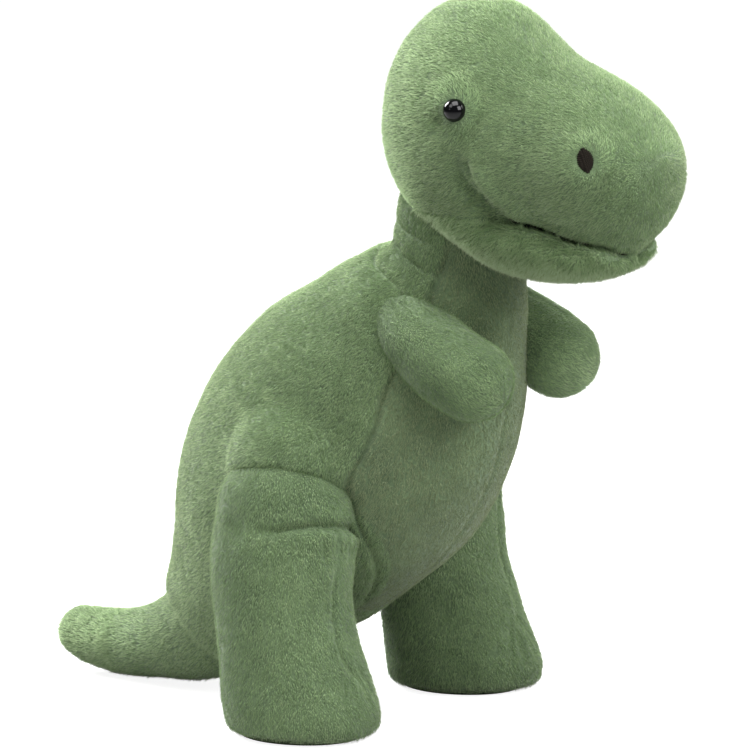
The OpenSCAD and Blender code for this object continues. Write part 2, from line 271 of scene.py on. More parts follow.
def rumple(obj, height, scale, seed):
    """Soft unevenness of stuffed cloth."""
    co, no = coords(obj), normals(obj)
    set_coords(obj, co + no * (height * noise(co, scale, seed))[:, None])


# ---- Sizes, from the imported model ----

def low(node):
    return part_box(node)[0]


def high(node):
    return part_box(node)[1]


HALF_BODY = high("body_panel_left").x
BODY_DEPTH = HALF_BODY * 1.056
NECK_R = high("neck_panel").x
TAIL_R = high("tail_panel_left").x
TAIL_JOINT, NECK_JOINT = np.array(JOINTS["tail_swing"]), np.array(JOINTS["neck_nod"])
HEAD_JOINT, TIP_JOINT = np.array(JOINTS["head_turn"]), np.array(JOINTS["tail_tip_curl"])
HIP = JOINTS["hip_left"]
SOLE_LOW, SOLE_HIGH = low("sole_left"), high("sole_left")
HEAD_FRONT_WAY, HEAD_BACK_WAY = 0.99, 0.02
HEAD_L = (high("head_gusset").y - low("head_gusset").y) / (HEAD_FRONT_WAY - HEAD_BACK_WAY)
HEAD_BACK = high("head_gusset").y + HEAD_BACK_WAY * HEAD_L
HEAD_BASE = low("jaw_panel").z
HEAD_H = high("head_gusset").z - HEAD_BASE
HALF_HEAD = high("head_side_left").x


def mm(x, y, z):
    """Point given in millimetres."""
    return np.array([x, y, z]) * MM


def mirrored(path):
    return [np.array([-p[0], p[1], p[2]]) for p in path]


def both(path):
    """The path on the toy's left, and on its right."""
    return path, mirrored(path)


# ---- Trunk and neck ----

# Way along the spine, then half width, back and belly in hundredths of the trunk's half sizes
TRUNK_FORM = [
    (0.00, 48, 48, 46), (0.06, 58, 58, 54), (0.13, 71, 75, 63), (0.20, 83, 89, 72), (0.28, 92, 99, 80),
    (0.36, 98, 106, 87), (0.44, 100, 109, 93), (0.52, 100, 108, 95), (0.60, 97, 104, 94),
    (0.68, 91, 97, 89), (0.76, 83, 86, 81), (0.84, 73, 75, 71), (0.90, 63, 65, 62), (0.95, 55, 57, 56),
]
SPINE_BEND = np.array([0.0, -8 * MM, HIP.z + (NECK_JOINT[2] - HIP.z) / 4])


def trunk_row(way, half_w, back, belly):
    point = (1 - way) ** 2 * TAIL_JOINT + 2 * way * (1 - way) * SPINE_BEND + way ** 2 * NECK_JOINT
    along = (1 - way) * (SPINE_BEND - TAIL_JOINT) + way * (NECK_JOINT - SPINE_BEND)
    climb = math.degrees(math.atan2(along[2], -along[1]))
    return [*point, climb, half_w * HALF_BODY / 100, back * BODY_DEPTH / 100, belly * BODY_DEPTH / 100]


TRUNK = [trunk_row(*f) for f in TRUNK_FORM]
TRUNK += [
    [*(NECK_JOINT + UP * 4 * MM), 80, NECK_R, NECK_R, NECK_R * 1.02],
    [*(HEAD_JOINT - UP * 4 * MM), 88, NECK_R * 0.97, NECK_R * 0.97, NECK_R * 0.99],
    [*(HEAD_JOINT + UP * 12 * MM), 90, NECK_R * 0.86, NECK_R * 0.86, NECK_R * 0.86],
]


def on_form(rows, station, degrees, inset=PILE_RISE):
    """Point of a form's surface at a station, which may lie between two rows, and an angle round it."""
    rows = catmull(rows, 10)
    row = rows[min(int(round(station * 10)), len(rows) - 1)]
    return ring_points(row, np.radians([degrees]), inset)[0]


# Seam between the side and the belly, from the throat down to the crotch
BELLY_SEAM = [mm(25, -48, 169), mm(41, -50, 155), mm(43, -43, 142), mm(43, -37, 128), mm(45, -33, 113),
              mm(48, -26, 99), mm(47, -24, 90), mm(36, -24, 76), mm(24, -22, 62), mm(14, -10, 48)]
THROAT_SEAM = [mm(22, -55, 190), mm(23, -52, 180), mm(25, -48, 169)]
# Where the thigh tucks in under the trunk, from behind to the belly
HIP_CREASE = [mm(52, 25, 95), mm(61, 14, 99), mm(63, 2, 101), mm(59, -9, 100), mm(52, -18, 97),
              mm(47, -24, 92)]


def make_trunk():
    haunches = [ball_rings(mm(x, 3, 96), mm(31, 28, 31)) for x in (34, -34)]
    mounds = [ball_rings(mm(x, -20, 151), mm(17, 21, 18)) for x in (21, -21)]
    obj = form("trunk_skin", [form_rings(TRUNK, PILE_RISE, 12 * MM, 6 * MM), *haunches, *mounds], smooth=22,
               swell=0.9 * MM)
    rumple(obj, 0.7 * MM, 38 * MM, 11)
    for path in both(BELLY_SEAM):
        groove(obj, path, 1.6 * MM, 1.3 * MM, taper=False)
    for path in both(THROAT_SEAM):
        groove(obj, path, 1.4 * MM, 1.5 * MM)
    for path in both(HIP_CREASE):
        groove(obj, path, 1.6 * MM, 1.8 * MM)
    # Folds round the neck
    for fold in ([mm(13, -20, 192), mm(22, -33, 188), mm(25, -50, 185)],
                 [mm(18, -23, 184), mm(25, -36, 178), mm(26, -50, 174)],
                 [mm(10, -14, 180), mm(22, -20, 175), mm(30, -36, 169)]):
        for path in both(fold):
            groove(obj, path, 1.7 * MM, 1.7 * MM)
    for side in (1, -1):
        bump(obj, [side * 45 * MM, -25 * MM, 88 * MM], -1.5 * MM, 5 * MM)
    groove(obj, [on_form(TRUNK, s, -90) for s in range(1, 13)], 0.7 * MM, 1.3 * MM)
    groove(obj, [on_form(TRUNK, s, 90) for s in range(1, 15)], 0.8 * MM, 1.3 * MM, taper=False)
    return obj


# ---- Head ----

# Way from nape to snout, then half width, crown and underside of the upper head, in hundredths
HEAD_FORM = [
    (4, 52, 75, 33), (8, 73, 86, 24), (14, 88, 94, 17), (22, 97, 99, 12), (31, 100, 100, 10),
    (40, 98, 97.5, 10), (50, 93, 89, 12), (58, 89, 82.5, 13), (66, 86, 78.5, 13.5), (75, 85, 75, 11),
    (83, 80, 69.5, 12), (90, 69, 62.5, 15.5), (95, 52, 55, 22.5),
]
# Way, middle height, half width, reach up and reach down of the lower jaw, in hundredths
JAW_FORM = [
    (20, 25, 60, 12, 11), (34, 22, 80, 14, 14), (48, 17, 84, 15, 15.5), (60, 14.5, 80, 12, 14.5),
    (70, 13, 75, 9, 12), (78, 12.8, 67, 6, 10), (83, 13.5, 54, 4, 8.5),
]
JAW_CAP = 5 * MM


def head_mid(way):
    return 55 - 0.14 * way


def head_row(way, half_w, crown, under):
    mid = head_mid(way)
    return [0, HEAD_BACK - way * HEAD_L / 100, HEAD_BASE + mid * HEAD_H / 100, 0,
            half_w * HALF_HEAD / 100, (crown - mid) * HEAD_H / 100, (mid - under) * HEAD_H / 100]


def jaw_row(way, middle, half_w, reach_up, reach_down):
    return [0, HEAD_BACK - way * HEAD_L / 100, HEAD_BASE + middle * HEAD_H / 100, 0,
            half_w * HALF_HEAD / 100, reach_up * HEAD_H / 100, reach_down * HEAD_H / 100]


HEAD_INSET = 2.0 * MM
HEAD = [head_row(*f) for f in HEAD_FORM]
JAW = [jaw_row(*f) for f in JAW_FORM]


def row_at(rows, y):
    """A form's row at a place along Y."""
    rows = catmull(rows, 8)[::-1]
    return np.array([np.interp(y, rows[:, 1], rows[:, k]) for k in range(7)])


def lip_height(y):
    """Height at which the upper lip and the lower jaw are equally wide."""
    head, jaw = row_at(HEAD, y), row_at(JAW, y)
    z = np.linspace(jaw[2], jaw[2] + jaw[5] * 0.98, 60)
    below_head = (head[2] - z) / (head[6] - HEAD_INSET)
    above_jaw = (z - jaw[2]) / (jaw[5] - HEAD_INSET)
    half_head = (head[4] - HEAD_INSET) * np.sqrt(np.clip(1 - below_head ** 2, 0, 1))
    half_jaw = (jaw[4] - HEAD_INSET) * np.sqrt(np.clip(1 - above_jaw ** 2, 0, 1))
    return z[int(np.argmin(np.abs(half_head - half_jaw)))]


JAW_FRONT = JAW[-1][1]
CHEEK_CURL = [mm(38, -70, 219), mm(37, -72, 211), mm(34.5, -76, 205)]


def lip_line(co, side):
    """The valley between the lips on a skin, from the mouth's corner round to the middle of its front."""
    co = co * [side, 1, 1]
    line = []
    for y in np.arange(-80, JAW_FRONT / MM, -2.5) * MM:
        level = np.abs(co[:, 2] - lip_height(y)) < 4 * MM
        near = co[(np.abs(co[:, 1] - y) < 1.0 * MM) & (co[:, 0] > 8 * MM) & level]
        line.append(near[np.argmin(near[:, 0])])
    level = np.abs(co[:, 2] - lip_height(JAW_FRONT)) < 4 * MM
    for x in np.arange(14, -1, -3.5) * MM:
        near = co[(np.abs(co[:, 0] - x) < 1.0 * MM) & (co[:, 1] < JAW_FRONT) & level]
        line.append(near[np.argmax(near[:, 1])])
    line = np.array(line)
    for _ in range(4):
        line[1:-1] = (line[:-2] + 2 * line[1:-1] + line[2:]) / 4
    return [p * [side, 1, 1] for p in line]


EYE = np.array((low("eye_left") + high("eye_left")) / 2)
EYE[0] = high("eye_left").x - 2.5 * MM
NOSTRIL = np.array((low("nostril_left") + high("nostril_left")) / 2)


def make_head():
    upper = form_rings(HEAD, HEAD_INSET, 3 * MM, 5 * MM)
    lower = form_rings(JAW, HEAD_INSET, 8 * MM, JAW_CAP)
    obj = form("head_skin", [upper, lower], voxel=1.8 * MM, smooth=5)
    rumple(obj, 0.45 * MM, 32 * MM, 21)
    for side in (1, -1):
        mirror = [side, 1, 1]
        curl = [p * mirror for p in CHEEK_CURL]
        lips = lip_line(coords(obj), side)
        groove(obj, [p + mm(0, 0, 4.5) for p in lips[1::3]], -1.0 * MM, 3.0 * MM)
        groove(obj, [p - mm(0, 0, 3.5) for p in lips[1::3]], -1.3 * MM, 2.6 * MM)
        groove(obj, [p + mm(0, -5, 1) for p in curl] + [lips[1] + mm(0, -4, 4)], -2.2 * MM, 4.0 * MM)
        groove(obj, curl + lips[::2], 2.0 * MM, 1.3 * MM, taper=False)
        groove(obj, [p + mm(0, 3, -1) for p in curl] + [lips[0] + mm(0, 1, -1)], 4.2 * MM, 3.6 * MM)
        # Short creases under the corner of the mouth
        for start, end in ((mm(34, -74, 204), mm(36, -67, 200)), (mm(32.5, -78, 200), mm(33.5, -70, 195)),
                           (mm(31, -82, 197), mm(31, -75, 191))):
            groove(obj, [start * mirror, (start + end) / 2 * mirror, end * mirror], 1.2 * MM, 1.2 * MM)
        eye = EYE * mirror
        bump(obj, eye + mm(0, 2.5, 8.5), 1.3 * MM, 7 * MM)
        bump(obj, eye + mm(0, 6, -4.5), -2.4 * MM, 3.6 * MM)
        bump(obj, eye + mm(0, 2, 0), 1.2 * MM, 6 * MM)
        nostril = NOSTRIL * mirror
        bump(obj, nostril + mm(0, 0, 7.5), 0.8 * MM, 6 * MM)
        bump(obj, nostril, -2.2 * MM, 4.5 * MM)
    return obj


# ---- Limbs and tail ----

THIGH_R = 28 * MM
DOWN = -90


def leg_row(shift, y, height, half_w, front, heel):
    """Shift and y in millimetres, height in hundredths of the hip's."""
    return [HIP.x + shift * MM, y * MM, HIP.z * height / 100, DOWN, half_w * MM, front * MM, heel * MM]


LEG = [
    leg_row(-1, 2, 106, 24, 28, 28), leg_row(1.5, 2, 88, 25.5, 28.5, 28.5),
    leg_row(3.5, 1, 68, 25.3, 27.7, 27.7), leg_row(5, -1.5, 48, 25.3, 29.3, 27),
    leg_row(5.5, -4.5, 30, 26.3, 31.5, 27), leg_row(6, -7, 18, 27.3, 33, 28.5),
    leg_row(6, -8.5, 9.5, 27.3, 32.5, 29), leg_row(6, -8.5, 4, 26.5, 31.5, 28.5),
]
THIGH_CREASE = [mm(74, -2, 80), mm(70, -12, 81), mm(62, -21, 82), mm(50, -25, 80), mm(38, -23, 76),
                mm(27, -18, 72)]
SHIN_SEAM = [mm(54, -25, 78), mm(56, -25, 62), mm(59, -26, 46), mm(60, -27, 34), mm(57, -31, 24)]
ARM_DROOP = -31


def arm_row(x, y, z, r):
    return [x * MM, y * MM, z * MM, ARM_DROOP, r * MM, r * MM, r * MM]


ARM = [arm_row(21, -25, 158, 13.5), arm_row(26, -37, 153, 15), arm_row(29, -48.5, 147, 15.8),
       arm_row(30.5, -59, 141.5, 16.2), arm_row(30, -68.5, 136.5, 16.3)]
HAND_CAP = 16 * MM
TAIL_BEND = np.array([0.0, TAIL_JOINT[1] + (TIP_JOINT[1] - TAIL_JOINT[1]) * 0.45, 15 * MM])
# Radius of the tail from its root to its tip joint, in millimetres
TAIL_TAPER = (26, 22.5, 19.5, 17, 15, 14)


def tail_row(way):
    p = (1 - way) ** 2 * TAIL_JOINT + 2 * way * (1 - way) * TAIL_BEND + way ** 2 * TIP_JOINT
    along = (1 - way) * (TAIL_JOINT - TAIL_BEND) + way * (TAIL_BEND - TIP_JOINT)
    r = np.interp(way, np.linspace(0, 1, len(TAIL_TAPER)), TAIL_TAPER) * TAIL_R / TAIL_TAPER[0]
    p[2] = max(p[2], r + 0.3 * MM)
    return [*p, math.degrees(math.atan2(along[2], -along[1])), r, r * (1 - 0.2 * min(way / 0.4, 1)), r]


TAIL_ROOT = [*(TAIL_JOINT + mm(0, -12, 9)), 44, TAIL_R * 1.1, TAIL_R * 1.1, TAIL_R * 1.08]
TIP_END = high("tail_tip_skin").y + 1.0 * MM
TIP_ROWS = [
    [0, TIP_JOINT[1] + 8 * MM, TIP_JOINT[2], -8, 12 * MM, 11.5 * MM, 12 * MM],
    [0, TIP_JOINT[1] + 15 * MM, TIP_JOINT[2] + 1 * MM, -12, 10.2 * MM, 10.5 * MM, 10 * MM],
]
TAIL = [TAIL_ROOT] + [tail_row(w) for w in (0.15, 0.4, 0.65, 0.85, 1.0)]


def make_leg(side):
    name = "left" if side > 0 else "right"
    obj = form(f"leg_{name}_skin", [form_rings(LEG, PILE_RISE, THIGH_R, 3 * MM)])
    rumple(obj, 0.6 * MM, 30 * MM, 31)
    groove(obj, SHIN_SEAM, 1.5 * MM, 1.5 * MM)
    groove(obj, THIGH_CREASE, 2.8 * MM, 1.9 * MM)
    groove(obj, [p - mm(0, 1, 5) for p in THIGH_CREASE[1:]], -1.0 * MM, 3.5 * MM)
    # Creases that run down from the fold, and others that fan out above the toes
    for x in (62, 56, 51, 45):
        groove(obj, [mm(x - 1, -24, 79), mm(x, -25, 74), mm(x + 1, -26, 69)], 1.1 * MM, 1.2 * MM)
    for x in (47, 53, 61, 66):
        groove(obj, [mm(57 + (x - 57) * 0.3, -29, 27), mm(57 + (x - 57) * 0.7, -33, 20), mm(x, -36, 13)],
               1.0 * MM, 1.3 * MM)
    groove(obj, [on_form(LEG, s, -90) for s in (0.5, 2, 3.5, 5)], 0.9 * MM, 1.5 * MM)
    co = coords(obj)
    co[:, 2] = np.maximum(co[:, 2], 0.8 * MM)
    if side < 0:
        flip(obj, co)
    else:
        set_coords(obj, co)
    return obj


def flip(obj, co):
    """Mirrors a mesh across the plane x = 0."""
    co[:, 0] *= -1
    obj.data.flip_normals()
    set_coords(obj, co)


def make_arm(side):
    name = "left" if side > 0 else "right"
    obj = form(f"arm_{name}_skin", [form_rings(ARM, PILE_RISE, 13 * MM, HAND_CAP)])
    rumple(obj, 0.5 * MM, 22 * MM, 41)
    for angle in (90, -90):
        groove(obj, [on_form(ARM, s, angle) for s in (0, 1, 2, 3, 4)], 0.8 * MM, 1.3 * MM)
    if side < 0:
        flip(obj, coords(obj))
    return obj


def make_tail():
    obj = form("tail_skin", [form_rings(TAIL, PILE_RISE, -14 * MM, -4 * MM)], smooth=10)
    rumple(obj, 0.5 * MM, 28 * MM, 51)
    for angle in (90, -90):
        groove(obj, [on_form(TAIL, s, angle) for s in range(1, 6)], 0.7 * MM, 1.3 * MM, taper=False)
    return obj


def make_tip():
    rows = [tail_row(0.9)] + TIP_ROWS
    obj = form("tail_tip_cloth", [form_rings(rows, PILE_RISE + 0.2 * MM, -6 * MM, TIP_ROWS[1][1] - TIP_END)])
    rumple(obj, 0.4 * MM, 16 * MM, 61)
    return obj


def make_sole(side):
    """Flat sole sewn into the bottom of a foot, inside the pile that hangs round it."""
    name = "left" if side > 0 else "right"
    middle, half = (SOLE_LOW + SOLE_HIGH) / 2, (SOLE_HIGH - SOLE_LOW) / 2
    inset = 5 * MM
    rows = [[middle.x, middle.y, z * MM, DOWN, half.x - inset + grow * MM, half.y - inset + grow * MM,
             half.y - inset + grow * MM] for z, grow in ((3.0, 0.0), (2.0, 0.8), (1.0, 0.8), (0.0, -0.6))]
    verts, faces = loft_mesh([ring_points(r, np.linspace(0, 2 * math.pi, 48, endpoint=False)) for r in rows])
    obj = new_object(f"sole_{name}_cloth", verts, faces)
    if side < 0:
        flip(obj, coords(obj))
    return obj


# ---- Pile ----

# Pile tones from dark to light; besides the random mix, the darker ones carry painted shade in the gaps
# between tufts, along creases and seams and round the eyes and nostrils
PILE_TONES = [
    ("deep", (0.070, 0.115, 0.042)), ("mid", (0.155, 0.250, 0.103)), ("green", (0.205, 0.315, 0.139)),
    ("light", (0.255, 0.370, 0.174)), ("tip", (0.335, 0.445, 0.226)),
]
BELLY_TONES = [
    ("belly_deep", (0.095, 0.125, 0.052)), ("belly_mid", (0.150, 0.195, 0.089)),
    ("belly_green", (0.195, 0.250, 0.122)), ("belly_light", (0.240, 0.300, 0.155)),
    ("belly_tip", (0.300, 0.365, 0.202)),
]


def principled(name):
    mat = bpy.data.materials.new(name)
    mat.use_nodes = True
    return mat, mat.node_tree.nodes, mat.node_tree.links, mat.node_tree.nodes["Principled BSDF"]


def pile_material(tone, colour):
    mat, _nodes, _links, shader = principled(f"pile_{tone}")
    shader.inputs["Base Color"].default_value = (*colour, 1)
    shader.inputs["Roughness"].default_value = 0.8
    shader.inputs["Specular IOR Level"].default_value = 0.2
    shader.inputs["Sheen Weight"].default_value = 0.45
    shader.inputs["Sheen Roughness"].default_value = 0.45
    shader.inputs["Sheen Tint"].default_value = (0.88, 1.0, 0.66, 1)
    return mat


def cloth_material(name, dark, light):
    """Backing cloth under the pile, with the roots of the hairs as fine specks. Its dark green is partly the
    roots' own colour and partly painted shade under the pile.
    """
    mat, nodes, links, shader = principled(name)
    coord = nodes.new("ShaderNodeTexCoord")
    fine = nodes.new("ShaderNodeTexNoise")
    fine.inputs["Scale"].default_value = 900
    fine.inputs["Detail"].default_value = 2
    broad = nodes.new("ShaderNodeTexNoise")
    broad.inputs["Scale"].default_value = 60
    ramp = nodes.new("ShaderNodeValToRGB")
    ramp.color_ramp.elements[0].position = 0.35
    ramp.color_ramp.elements[0].color = (*dark, 1)
    ramp.color_ramp.elements[1].position = 0.7
    ramp.color_ramp.elements[1].color = (*light, 1)
    mix = nodes.new("ShaderNodeMix")
    mix.inputs["Factor"].default_value = 0.4
    links.new(coord.outputs["Object"], fine.inputs["Vector"])
    links.new(coord.outputs["Object"], broad.inputs["Vector"])
    links.new(fine.outputs["Fac"], mix.inputs["A"])
    links.new(broad.outputs["Fac"], mix.inputs["B"])
    links.new(mix.outputs["Result"], ramp.inputs["Fac"])
    links.new(ramp.outputs["Color"], shader.inputs["Base Color"])
    bump_node = nodes.new("ShaderNodeBump")
    bump_node.inputs["Strength"].default_value = 0.6
    bump_node.inputs["Distance"].default_value = 0.5 * MM
    links.new(fine.outputs["Fac"], bump_node.inputs["Height"])
    links.new(bump_node.outputs["Normal"], shader.inputs["Normal"])
    shader.inputs["Roughness"].default_value = 0.95
    shader.inputs["Sheen Weight"].default_value = 0.3
    return mat


# Dark green backing: partly the colour of the roots, partly painted shade under the hairs
CLOTH = cloth_material("pile_cloth", (0.06, 0.10, 0.045), (0.15, 0.225, 0.105))
PILE = [pile_material(*t) for t in PILE_TONES]
BELLY_PILE = [pile_material(*t) for t in BELLY_TONES]

HAIR_LENGTH = 2.2 * MM
HAIR_WIDTH = 0.27 * MM
SHORTEST_HAIR = 0.5 * MM
ROOT_SINK = 0.2  # millimetres below the skin


def scatter(obj, count, rng, keep=None):
    """Seeded points spread evenly over a skin, with the normal at each."""
    mesh = obj.data
    mesh.calc_loop_triangles()
    tri = np.empty(len(mesh.loop_triangles) * 3, np.int32)
    mesh.loop_triangles.foreach_get("vertices", tri)
    tri = tri.reshape(-1, 3)
    co, no = coords(obj), normals(obj)
    if keep is not None:
        tri = tri[keep(co[tri].mean(1))]
    a, b, c = co[tri[:, 0]], co[tri[:, 1]], co[tri[:, 2]]
    area = np.linalg.norm(np.cross(b - a, c - a), axis=1)
    edge = np.cumsum(area) / area.sum()
    picks = np.searchsorted(edge, (np.arange(count) + rng.random(count)) / count)
    picks = np.minimum(picks, len(tri) - 1)
    u, v = rng.random(count), rng.random(count)
    over = u + v > 1
    u[over], v[over] = 1 - u[over], 1 - v[over]
    w = 1 - u - v
    points = a[picks] * w[:, None] + b[picks] * u[:, None] + c[picks] * v[:, None]
    n = no[tri[picks, 0]] * w[:, None] + no[tri[picks, 1]] * u[:, None] + no[tri[picks, 2]] * v[:, None]
    return points, n / np.linalg.norm(n, axis=1)[:, None]


def pile(name, skin, flow, seed, count, keep=None, tones=PILE, length=HAIR_LENGTH, lie=1.9, bald_shaded=(), thin_shaded=(),
         fan=()):
    """Pile of one skin: closed three-sided hairs that lie along flow, in tufts with short hairs between them
    that are darkened as painted shade.

    bald is (point, radius) pairs without hair, round which the hairs are darkened as painted shade,
    thin is lines along which the hairs are short and darkened as painted shade, fan is (point, radius) pairs
    from which the hairs stand away.
    """
    rng = np.random.default_rng(seed)
    root, n = scatter(skin, count, rng, keep)
    tangent = flow(root)
    for centre, radius in fan:
        away = root - np.array(centre)
        d = np.linalg.norm(away, axis=1)[:, None]
        tangent += 2.5 * away / (d + 1e-9) * np.exp(-(d / radius) ** 2)
    tangent -= n * np.einsum("ij,ij->i", tangent, n)[:, None]
    tangent /= np.linalg.norm(tangent, axis=1)[:, None] + 1e-9
    side = np.cross(n, tangent)
    swirl = 0.4 * noise(root, 7 * MM, seed + 1) + 0.4 * noise(root, 2.2 * MM, seed + 2)
    stray = rng.normal(0, 0.45, (count, 1))
    lean = lie * (1 + 0.35 * noise(root, 3 * MM, seed + 3))[:, None] + rng.normal(0, 0.25, (count, 1))
    way = n + tangent * lean + side * (swirl[:, None] + stray) * 1.5
    way /= np.linalg.norm(way, axis=1)[:, None]
    size = length * (1 + 0.2 * noise(root, 5 * MM, seed + 4) + rng.normal(0, 0.12, count))
    tone = 2.1 + 0.9 * noise(root, 8 * MM, seed + 5) + rng.normal(0, 0.7, count)
    # Between the tufts the hairs are short and three tones darker: painted shade in the gaps
    shaded_gap = noise(root, 2.4 * MM, seed + 6, octaves=1) + 0.5 * noise(root, 14 * MM, seed + 7) > 0.7
    size[shaded_gap] *= 0.35
    tone[shaded_gap] -= 3.0
    for centre, radius in bald_shaded:
        d = np.linalg.norm(root - np.array(centre), axis=1)
        size *= np.clip((d - radius * 0.6) / (radius * 0.7), 0.0, 1.0)
        # The hairs round each eye and nostril are darkened: painted shade in the recesses
        tone -= 1.5 * np.exp(-(d / (radius * 1.3)) ** 2)
    for line, width in thin_shaded:
        d, _where = path_distance(root, catmull(line, 4))
        near = np.exp(-(d / width) ** 2)
        size *= 1 - 0.75 * near
        # Along the lines the hairs are darkened: painted shade in the creases, seams and mouth
        tone -= 2.2 * near
    grow = size > SHORTEST_HAIR
    tone = np.clip(np.rint(tone[grow]), 0, len(tones) - 1).astype(np.int32)
    sunk = root[grow] - n[grow] * ROOT_SINK * MM
    return hair_object(name, sunk, way[grow], n[grow], size[grow], tone, tones, rng)


def hair_object(name, root, way, n, size, tone, tones, rng):
    """One mesh of closed hairs, each of three sides and a base, in the materials of tones."""
    count = len(root)
    across = np.cross(way, n)
    across /= np.linalg.norm(across, axis=1)[:, None] + 1e-9
    out = np.cross(across, way)
    half = HAIR_WIDTH * 0.5 * rng.uniform(0.7, 1.3, count)[:, None]
    tip = root + way * size[:, None]
    verts = np.empty((count, 4, 3))
    verts[:, 0] = root + across * half
    verts[:, 1] = root - across * half
    verts[:, 2] = root + out * half * 0.8
    verts[:, 3] = tip
    verts[:, :, 2] = np.maximum(verts[:, :, 2], 0.15 * MM)
    base = (np.arange(count) * 4)[:, None, None]
    faces = (base + np.array([[0, 2, 1], [0, 3, 2], [2, 3, 1], [1, 3, 0]])[None]).reshape(-1, 3)
    mesh = bpy.data.meshes.new(name)
    mesh.vertices.add(count * 4)
    mesh.vertices.foreach_set("co", verts.astype(np.float32).ravel())
    mesh.loops.add(len(faces) * 3)
    mesh.loops.foreach_set("vertex_index", faces.astype(np.int32).ravel())
    mesh.polygons.add(len(faces))
    mesh.polygons.foreach_set("loop_start", np.arange(0, len(faces) * 3, 3, dtype=np.int32))
    mesh.polygons.foreach_set("material_index", np.repeat(tone, 4))
    mesh.update(calc_edges=True)
    mesh.validate()
    for mat in tones:
        mesh.materials.append(mat)
    obj = bpy.data.objects.new(name, mesh)
    bpy.context.scene.collection.objects.link(obj)
    return obj


def flow_to(*points):
    """Pile that lies along the line through the points."""
    path = np.array(points, float)

    def at(co):
        way = np.zeros_like(co)
        best = np.full(len(co), 1e9)
        for a, b in zip(path[:-1], path[1:]):
            ab = b - a
            u = np.clip(((co - a) @ ab) / (ab @ ab), 0, 1)
            d = np.linalg.norm(co - (a + u[:, None] * ab), axis=1)
            near = d < best
            best[near], way[near] = d[near], ab / np.linalg.norm(ab)
        return way
    return at


# ---- Build ----

def dress(obj, mat):
    obj.data.materials.clear()
    obj.data.materials.append(mat)


def on_belly(co):
    """Which points lie on the belly and throat, between the two front seams."""
    seam = np.array(THROAT_SEAM[:-1] + BELLY_SEAM)[::-1]
    half = np.interp(co[:, 2], seam[:, 2], seam[:, 0])
    front = np.interp(co[:, 2], seam[:, 2], seam[:, 1])
    return (np.abs(co[:, 0]) < half) & (co[:, 1] < front + 3 * MM)


trunk = make_trunk()
head = make_head()
legs = {s: make_leg(s) for s in (1, -1)}
arms = {s: make_arm(s) for s in (1, -1)}
tail = make_tail()
tip = make_tip()

flow_trunk = flow_to(HEAD_JOINT, NECK_JOINT, SPINE_BEND, TAIL_JOINT)
# Seams and hip crease, along which the pile is short and darkened as painted shade
trunk_lines = [(p, 1.2 * MM) for p in both(BELLY_SEAM) + both(THROAT_SEAM) + both(HIP_CREASE)]
WAIST = 112 * MM
trunk_pile = []
for label, test, count, seed in (
        ("upper_left", lambda c: (c[:, 0] >= 0) & (c[:, 2] >= WAIST) & ~on_belly(c), 42000, 101),
        ("upper_right", lambda c: (c[:, 0] < 0) & (c[:, 2] >= WAIST) & ~on_belly(c), 42000, 102),
        ("lower_left", lambda c: (c[:, 0] >= 0) & (c[:, 2] < WAIST) & ~on_belly(c), 46000, 103),
        ("lower_right", lambda c: (c[:, 0] < 0) & (c[:, 2] < WAIST) & ~on_belly(c), 46000, 104)):
    trunk_pile.append(pile(f"trunk_pile_{label}", trunk, flow_trunk, seed, count, keep=test,
                           thin_shaded=trunk_lines))
trunk_pile.append(pile("belly_pile", trunk, flow_trunk, 105, 44000, keep=on_belly, tones=BELLY_PILE,
                       length=HAIR_LENGTH * 0.8, lie=2.3, thin_shaded=trunk_lines))

flow_head = flow_to([0, HEAD_BACK - HEAD_L, HEAD_BASE + HEAD_H * 0.55],
                    [0, HEAD_BACK, HEAD_BASE + HEAD_H * 0.35])
flow_jaw = flow_to([0, JAW_FRONT, HEAD_BASE + HEAD_H], [0, JAW_FRONT / 2, HEAD_BASE])
eyes, nostrils = [EYE, EYE * [-1, 1, 1]], [NOSTRIL, NOSTRIL * [-1, 1, 1]]
# Hairless round the eyes and nostrils, with the pile round them darkened as painted shade
bald_shaded = [(p, 5.0 * MM) for p in eyes] + [(p, 4.6 * MM) for p in nostrils]
fan = [(p, 11 * MM) for p in eyes] + [(p, 9 * MM) for p in nostrils]
# Mouth lines and the valley behind the cheek fold, along which the pile is short and darkened as painted
# shade
lips = [(lip_line(coords(head), s)[::2], 1.3 * MM) for s in (1, -1)]
lips += [([q + mm(0, 2, -0.5) for q in p], 3.2 * MM) for p in both(CHEEK_CURL)]


def on_jaw(co):
    """Which points lie below the line of the mouth."""
    lip = np.array(lips[0][0])[::-1]
    return co[:, 2] < np.interp(co[:, 1], lip[:, 1], lip[:, 2])


head_pile = []
for label, test, count, seed in (
        ("left", lambda c: (c[:, 0] >= 0) & ~on_jaw(c), 50000, 111),
        ("right", lambda c: (c[:, 0] < 0) & ~on_jaw(c), 50000, 112)):
    head_pile.append(pile(f"head_pile_{label}", head, flow_head, seed, count, keep=test, bald_shaded=bald_shaded, thin_shaded=lips,
                          fan=fan))
head_pile.append(pile("jaw_pile", head, flow_jaw, 113, 42000, keep=on_jaw, thin_shaded=lips, length=3.4 * MM,
                      lie=1.5))

for piece in [trunk, *trunk_pile]:
    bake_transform(piece)
for piece in [head, *head_pile]:
    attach(piece, "head")
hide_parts("body_panel_left", "body_panel_right", "belly_panel", "body_filling",
            "neck_panel", "throat_panel", "neck_filling")
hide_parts("head_side_left", "head_side_right", "head_gusset", "jaw_panel", "head_filling")

